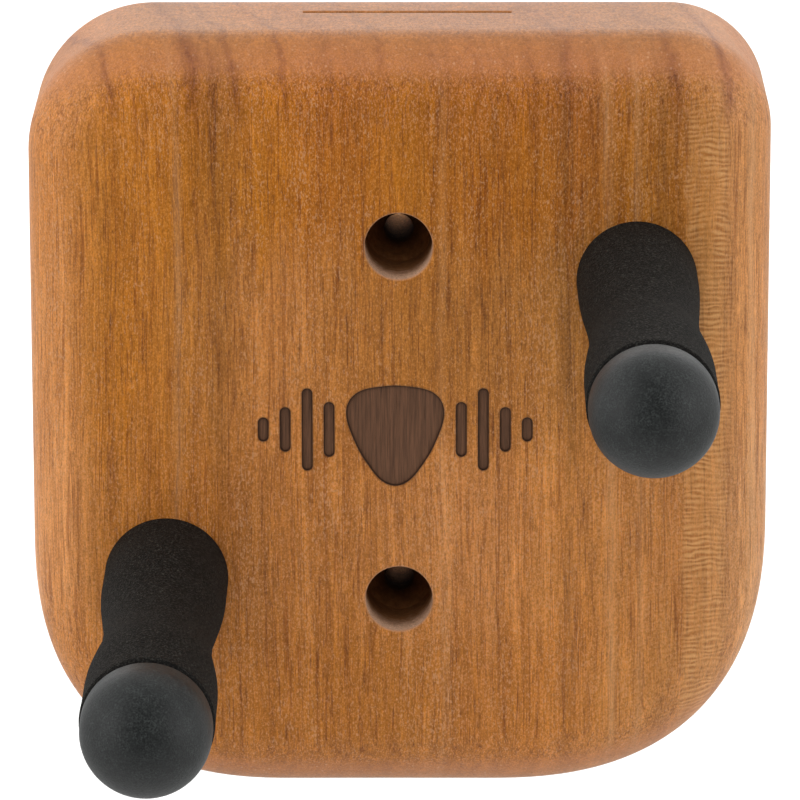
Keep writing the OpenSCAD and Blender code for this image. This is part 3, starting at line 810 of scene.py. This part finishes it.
    # curl: a narrow band where the fibres ripple, crossing the grain
    bu = n.m("ADD", n.m("ADD", px, n.m("MULTIPLY", py, 0.28)), n.m("MULTIPLY", n.m("SUBTRACT", n.noise(n.vmul(P, (0.2, 0.2, 0.13)), 1.0, 3.0, 0.6), 0.5), 1.6))
    band = n.m("MULTIPLY", n.span(bu, 31.8, 32.8, 0.0, 1.0, True), n.span(bu, 36.8, 40.4, 1.0, 0.0, True))
    band = n.m("MULTIPLY", band, n.span(pz, 49.0, 40.0, 0.20, 1.0, True))
    broad = n.m("MULTIPLY", n.span(x, 18.0, 30.0, 0.0, 0.5, True), n.span(x, 44.0, 50.0, 1.0, 0.0, True))
    rip_z = n.m("ADD", n.m("MULTIPLY", z, 8.2), n.m("MULTIPLY", n.noise(n.vmul(P, (0.14, 0.16, 0.30)), 1.0, 3.0, 0.60), 24.0))
    rip_z = n.m("ADD", rip_z, n.m("MULTIPLY", n.m("POWER", n.m("SUBTRACT", bu, 35.5), 2.0), 0.22))
    rip = n.m("ADD", n.m("MULTIPLY", n.m("SINE", rip_z), 0.5), 0.5)
    seen = n.span(n.noise(n.vmul(P, (0.5, 0.5, 0.16)), 1.0, 1.0), 0.35, 0.6, 0.25, 1.0)
    ripple = n.m("MULTIPLY", n.m("MULTIPLY", rip, seen), n.m("MAXIMUM", band, n.m("MULTIPLY", broad, 0.45)))
    col = n.mix(n.m("MULTIPLY", band, 0.26), col, srgb(234, 166, 96))
    col = n.mix(n.m("MULTIPLY", ripple, 0.66), col, srgb(236, 178, 114))
    dark = n.m("MULTIPLY", n.m("MULTIPLY", n.m("SUBTRACT", 1.0, rip), seen), band)
    col = n.mix(n.m("MULTIPLY", dark, 0.52), col, n.mix(1.0, col, (0.66, 0.52, 0.42), "MULTIPLY"))
    # end grain on top and bottom: duller, pinker, speckled
    nx, ny, nz = n.sep(n.normal())
    end = n.m("POWER", n.m("ABSOLUTE", nz), 3.4, clamp=True)
    turned = n.span(n.m("ABSOLUTE", nz), 0.34, 0.66, 0.0, 1.0, True)
    col = n.mix(n.m("MULTIPLY", turned, 0.46), col, n.gain(srgb_col(n, 206, 131, 82), ring, 0.30))
    col = n.mix(turned, col, n.mix(1.0, col, (1.0, 1.02, 1.12), "MULTIPLY"))
    dots = n.span(n.voronoi(n.vmul(P, (1.0, 1.0, 0.8)), 0.78), 0.09, 0.17, 1.0, 0.0)
    col = n.mix(n.m("MULTIPLY", n.m("MULTIPLY", dots, turned), 0.45), col, srgb(236, 186, 146))
    blot = n.noise(n.vmul(P, (0.35, 0.35, 0.35)), 1.0, 3.0, 0.6)
    grit = n.noise(n.vmul(P, (1.0, 0.34, 1.0)), 2.6, 2.0, 0.65)
    endc = n.gain(n.gain(n.mix(0.55, n.vscale(tone, 0.80), srgb(165, 113, 68)), grit, 0.80), blot, 0.34)
    endc = n.gain(endc, n.noise(n.vmul(P, (0.45, 1.6, 1.0)), 1.0, 2.0, 0.6), 0.30)
    col = n.mix(n.m("MULTIPLY", end, 0.88), col, endc)
    line = n.m("MULTIPLY", line, n.m("SUBTRACT", 1.0, n.m("MULTIPLY", n.m("POWER", end, 3.0), 0.5)))
    col = n.mix(line, col, n.mix(1.0, col, (0.56, 0.47, 0.55), "MULTIPLY"))
    # cut surfaces inside the holes and the slot: raw and pale near the mouth, then painted shade that darkens with
    # depth
    bored = n.attr("bored")
    depth = n.m("ADD", py, T)
    raw = n.gain(srgb_col(n, 196, 158, 130), n.noise(n.vmul(P, (1.2, 1.2, 0.8)), 3.0, 3.0, 0.7), 0.95)
    # painted shade: the deeper walls and the counterbore floor take this darker colour in place of the shade deep in a
    # hole
    painted_bore_shade = n.gain(srgb_col(n, 136, 94, 56), n.noise(n.vmul(P, (1.0, 3.0, 1.0)), 1.6, 2.0, 0.6), 0.55)
    painted_bore_shade = n.gain(painted_bore_shade, n.noise(n.vmul(P, (0.6, 4.2, 0.6)), 1.0, 2.0, 0.6), 0.55)
    off = n.m("SUBTRACT", n.m("ABSOLUTE", pz), 25.75)
    reach = n.m("SQRT", n.m("ADD", n.m("MULTIPLY", px, px), n.m("MULTIPLY", off, off)))
    # painted shade: darker still towards the middle of the counterbore floor, round the clearance hole
    painted_bore_shade = n.gain(painted_bore_shade, n.span(reach, 2.0, 4.7, 0.12, 0.55, True), 1.0)
    jag = n.m("MULTIPLY", n.m("SUBTRACT", n.noise(n.vmul(P, (0.9, 0.9, 0.9)), 1.0, 2.0, 0.6), 0.5), 5.0)
    # clearance-hole wall: torn fibre colour, painted darker near the counterbore floor as shade
    torn_fibre_and_shade = n.gain(srgb_col(n, 176, 126, 72), n.noise(n.vmul(P, (3.0, 1.1, 3.0)), 1.0, 3.0, 0.7), 1.0)
    torn_fibre_and_shade = n.mix(n.span(n.m("ADD", depth, jag), 12.5, 21.0, 0.0, 1.0, True), srgb(66, 42, 24), torn_fibre_and_shade)
    painted_bore_shade = n.mix(n.span(depth, 11.1, 11.6), painted_bore_shade, torn_fibre_and_shade)
    inner = n.mix(n.span(n.m("ADD", depth, jag), 1.6, 7.0, 0.0, 1.0, True), raw, painted_bore_shade)
    col = n.mix(bored, col, inner)
    # laser burn: brown floor with vertical streaks, dark lip
    cut, burn = n.attr("cut"), n.attr("burn")
    floor = n.gain(srgb_col(n, 106, 73, 52), n.noise(n.comb(x, 0.0, n.m("MULTIPLY", z, 0.05)), 2.6, 3.0, 0.65), 0.80)
    floor = n.gain(floor, fine, 0.50)
    col = n.mix(n.span(cut, 0.2, 0.8), col, floor)
    col = n.mix(n.m("MULTIPLY", n.m("POWER", burn, 1.3), 0.88), col, srgb(44, 24, 13))
    n.put(n.bsdf.inputs["Base Color"], col)
    n.bsdf.inputs["Specular IOR Level"].default_value = 0.37
    # satin oil finish, drier in the pores, the cuts and on end grain
    rough = n.m("ADD", n.m("MULTIPLY", fine, 0.16), 0.38)
    rough = n.m("ADD", rough, n.m("MULTIPLY", pore, 0.16))
    rough = n.m("ADD", rough, n.m("MULTIPLY", end, 0.05))
    rough = n.m("ADD", rough, n.m("MULTIPLY", n.m("MAXIMUM", n.m("MULTIPLY", bored, 1.8), cut), 0.35), clamp=True)
    n.put(n.bsdf.inputs["Roughness"], rough)
    h = n.m("SUBTRACT", n.m("MULTIPLY", fine, 0.7), n.m("MULTIPLY", pore, 0.8))
    h = n.m("SUBTRACT", h, n.m("MULTIPLY", dash, 0.4))
    h = n.m("SUBTRACT", h, n.m("MULTIPLY", hair, 0.5))
    h = n.m("ADD", h, n.m("MULTIPLY", mid, 0.8))
    h = n.m("ADD", h, n.m("MULTIPLY", speck, 0.7))
    h = n.m("ADD", h, n.m("MULTIPLY", ripple, 0.3))
    n.put(n.bsdf.inputs["Normal"], n.bump(h, 0.00006, 0.8))
    return n.mat


def srgb_col(n, r, g, b):
    """A constant colour as a socket, so that gain() can scale it."""
    c = n.t.nodes.new("ShaderNodeRGB")
    c.outputs[0].default_value = (*srgb(r, g, b), 1)
    return c.outputs[0]


def foam_material():
    n = Nodes("closed_cell_foam")
    P = n.coords()
    cell = n.voronoi(P, 2.6)
    cell2 = n.voronoi(n.vadd(P, (7.3, 2.1, 4.4)), 4.6)
    grain = n.noise(P, 2.9, 2.0, 0.75)
    cloud = n.noise(P, 0.35, 2.0, 0.55)
    dust = n.noise(n.vadd(P, (31.0, 5.0, 9.0)), 4.6, 1.0, 0.5)
    col = n.ramp(grain, [(0.32, srgb(9, 8, 7)), (0.46, srgb(22, 20, 18)), (0.56, srgb(36, 34, 31)), (0.72, srgb(84, 82, 76))])
    col = n.gain(col, cloud, 0.30)
    pit = n.span(cell, 0.02, 0.34, 0.0, 1.0, True)
    col = n.mix(n.m("MULTIPLY", n.m("SUBTRACT", 1.0, pit), 0.60), col, srgb(8, 7, 6))
    col = n.mix(n.span(dust, 0.62, 0.74, 0.0, 0.45), col, srgb(112, 112, 106))
    col = n.gain(col, 0.44, 1.0)
    # painted shade: the foam is darkened over its last 1.6 mm at the cap, where the cap meets it; the same mask also
    # softens the bump below
    rim = n.span(n.sep(P)[1], RIM_Y + 1.6, RIM_Y + 0.3, 0.0, 1.0, True)
    col = n.mix(n.m("MULTIPLY", rim, 0.55), col, srgb(9, 8, 8))
    n.put(n.bsdf.inputs["Base Color"], col)
    n.put(n.bsdf.inputs["Roughness"], n.span(grain, 0.3, 0.7, 0.82, 0.95))
    n.bsdf.inputs["Specular IOR Level"].default_value = 0.12
    h = n.m("ADD", n.m("MULTIPLY", cell, 1.2), n.m("MULTIPLY", cell2, 0.6))
    h = n.m("ADD", h, n.m("MULTIPLY", grain, 1.4))
    h = n.m("MULTIPLY", h, n.m("SUBTRACT", 1.0, n.m("MULTIPLY", rim, 0.8)))
    n.put(n.bsdf.inputs["Normal"], n.bump(h, 0.00022, 1.0))
    return n.mat


def rubber_material():
    n = Nodes("moulded_rubber")
    P = n.coords()
    mot = n.noise(P, 0.8, 2.0, 0.5)
    peb = n.noise(P, 2.3, 2.0, 0.6)
    fine = n.noise(n.vadd(P, (5.0, 2.0, 8.0)), 4.4, 1.0, 0.5)
    bloom = n.noise(n.vadd(P, (3.0, 8.0, 1.0)), 0.45, 2.0, 0.55)
    col = n.ramp(mot, [(0.30, srgb(13, 15, 15)), (0.55, srgb(18, 20, 20)), (0.75, srgb(24, 26, 26))])
    dusty = n.m("MULTIPLY", n.span(fine, 0.36, 0.66), n.span(peb, 0.34, 0.66, 0.25, 1.0))
    dusty = n.m("MULTIPLY", dusty, n.span(bloom, 0.34, 0.64, 0.45, 1.0))
    col = n.mix(n.m("MULTIPLY", dusty, 0.30), col, srgb(98, 105, 102))
    n.put(n.bsdf.inputs["Base Color"], col)
    n.bsdf.inputs["Specular IOR Level"].default_value = 0.46
    n.put(n.bsdf.inputs["Roughness"], n.m("ADD", n.span(peb, 0.3, 0.7, 0.46, 0.58), n.m("MULTIPLY", fine, 0.05)))
    h = n.m("ADD", n.m("MULTIPLY", mot, 0.25), n.m("ADD", n.m("MULTIPLY", peb, 0.55), n.m("MULTIPLY", fine, 0.30)))
    n.put(n.bsdf.inputs["Normal"], n.bump(h, 0.00012, 0.7))
    return n.mat


def steel_material():
    n = Nodes("zinc_plated_steel")
    P = n.coords()
    x, y, z = n.sep(P)
    turn = n.noise(n.comb(n.m("MULTIPLY", x, 0.4), n.m("MULTIPLY", y, 7.0), n.m("MULTIPLY", z, 0.4)), 1.0, 3.0, 0.6)
    spangle = n.voronoi(P, 1.1, out="Color")
    sx, sy, sz = n.sep(spangle)
    col = n.ramp(turn, [(0.3, srgb(150, 153, 158)), (0.7, srgb(186, 188, 190))])
    col = n.gain(col, sx, 0.08)
    n.put(n.bsdf.inputs["Base Color"], col)
    n.bsdf.inputs["Metallic"].default_value = 1.0
    n.put(n.bsdf.inputs["Roughness"], n.span(turn, 0.3, 0.7, 0.24, 0.40))
    n.put(n.bsdf.inputs["Normal"], n.bump(turn, 0.00002, 0.6))
    return n.mat


def brass_material():
    n = Nodes("machined_brass")
    P = n.coords()
    x, y, z = n.sep(P)
    turn = n.noise(n.comb(n.m("MULTIPLY", x, 0.5), n.m("MULTIPLY", y, 8.0), n.m("MULTIPLY", z, 0.5)), 1.0, 3.0, 0.6)
    tarn = n.noise(P, 0.6, 3.0, 0.6)
    col = n.ramp(tarn, [(0.3, srgb(176, 128, 58)), (0.7, srgb(214, 172, 96))])
    col = n.gain(col, turn, 0.10)
    n.put(n.bsdf.inputs["Base Color"], col)
    n.bsdf.inputs["Metallic"].default_value = 1.0
    n.put(n.bsdf.inputs["Roughness"], n.span(turn, 0.3, 0.7, 0.20, 0.36))
    n.put(n.bsdf.inputs["Normal"], n.bump(turn, 0.00002, 0.6))
    return n.mat


# ----------------------------------------------------------------- assemble
wood, foam, rubber, steel, brass = wood_material(), foam_material(), rubber_material(), steel_material(), brass_material()

plate = make_block()
plate.data.materials.append(wood)
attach(plate, "root")
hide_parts("wood_block")

for side in ("left", "right"):
    grip = make_sleeve(side)
    grip.data.materials.append(foam)
    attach(grip, "root")
    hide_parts(side + "_foam_sleeve")
    dome = make_cap(side)
    dome.data.materials.append(rubber)
    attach(dome, "root")
    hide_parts(side + "_end_cap")
    for node, mat in ((side + "_peg_stud", steel), (side + "_threaded_insert", brass), (side + "_cap_insert", brass)):
        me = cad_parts[node].data
        me.materials.clear()
        me.materials.append(mat)


# -------------------------------------------------------------------- stage
def stage():
    n = Nodes("pale_floor")
    P = n.coords()
    f = n.noise(n.vscale(P, 0.004), 1.0, 2.0, 0.5)
    n.put(n.bsdf.inputs["Base Color"], n.ramp(f, [(0.3, (0.90, 0.90, 0.89)), (0.7, (0.93, 0.93, 0.925))]))
    n.bsdf.inputs["Roughness"].default_value = 0.9
    me = bpy.data.meshes.new("pale_floor")
    me.from_pydata([(-14, -1.4, -1.2), (14, -1.4, -1.2), (14, 20, -1.2), (-14, 20, -1.2)], [], [(0, 1, 2, 3)])
    floor = bpy.data.objects.new("pale_floor", me)
    bpy.context.collection.objects.link(floor)
    me.materials.append(n.mat)

    def area(name, loc, target, size, power, col=(1, 1, 1), size_y=None):
        l = bpy.data.lights.new(name, "AREA")
        l.energy, l.color = power, col
        l.shape = "RECTANGLE"
        l.size, l.size_y = size, size_y or size
        ob = bpy.data.objects.new(name, l)
        bpy.context.collection.objects.link(ob)
        ob.location = loc
        d = Vector(target) - Vector(loc)
        ob.rotation_euler = d.to_track_quat("-Z", "Y").to_euler()
        ob.visible_camera = False
        return ob

    key = area("key_softbox", (-0.15, -0.95, 1.50), (0, 0, 0), 2.2, 20.5)
    key.visible_glossy = False
    area("left_strip", (-1.3, -0.72, 0.52), (0, 0, 0), 0.6, 6.2, size_y=1.6)
    area("right_strip", (1.3, -0.72, 0.52), (0, 0, 0), 0.6, 6.2, size_y=1.6)
    area("floor_light", (0, 5.2, 1.6), (0, 5.2, -1.2), 4.0, 135)

    w = bpy.data.worlds.new("studio")
    bpy.context.scene.world = w
    w.use_nodes = True
    t = w.node_tree
    t.nodes.clear()
    out = t.nodes.new("ShaderNodeOutputWorld")
    light = t.nodes.new("ShaderNodeBackground")
    seen = t.nodes.new("ShaderNodeBackground")
    seen.inputs["Color"].default_value = (1, 1, 1, 1)
    seen.inputs["Strength"].default_value = 1.05
    tc = t.nodes.new("ShaderNodeTexCoord")
    sep = t.nodes.new("ShaderNodeSeparateXYZ")
    t.links.new(tc.outputs["Generated"], sep.inputs[0])
    # bright behind, around and below the object, dim up in front of it
    def rng_node(src, a0, a1, b0, b1):
        r = t.nodes.new("ShaderNodeMapRange")
        r.interpolation_type = "SMOOTHSTEP"
        for k, v in (("From Min", a0), ("From Max", a1), ("To Min", b0), ("To Max", b1)):
            r.inputs[k].default_value = v
        t.links.new(src, r.inputs["Value"])
        return r.outputs[0]
    front = t.nodes.new("ShaderNodeVectorMath")
    front.operation = "DOT_PRODUCT"
    t.links.new(tc.outputs["Generated"], front.inputs[0])
    front.inputs[1].default_value = (0.0, -0.88, 0.475)
    room = rng_node(front.outputs["Value"], 0.92, 0.10, 0.06, 1.0)
    above = rng_node(sep.outputs[2], 0.35, 0.95, 1.0, 0.85)
    both = t.nodes.new("ShaderNodeMath")
    both.operation = "MULTIPLY"
    t.links.new(room, both.inputs[0])
    t.links.new(above, both.inputs[1])
    t.links.new(both.outputs[0], light.inputs["Strength"])
    light.inputs["Color"].default_value = (1, 1, 1, 1)
    lp = t.nodes.new("ShaderNodeLightPath")
    mixs = t.nodes.new("ShaderNodeMixShader")
    t.links.new(lp.outputs["Is Camera Ray"], mixs.inputs[0])
    t.links.new(light.outputs[0], mixs.inputs[1])
    t.links.new(seen.outputs[0], mixs.inputs[2])
    t.links.new(mixs.outputs[0], out.inputs["Surface"])
    sc = bpy.context.scene
    sc.view_settings.view_transform = "Standard"
    sc.view_settings.look = "None"
    sc.view_settings.exposure = 0.0
    sc.view_settings.gamma = 1.0


stage()
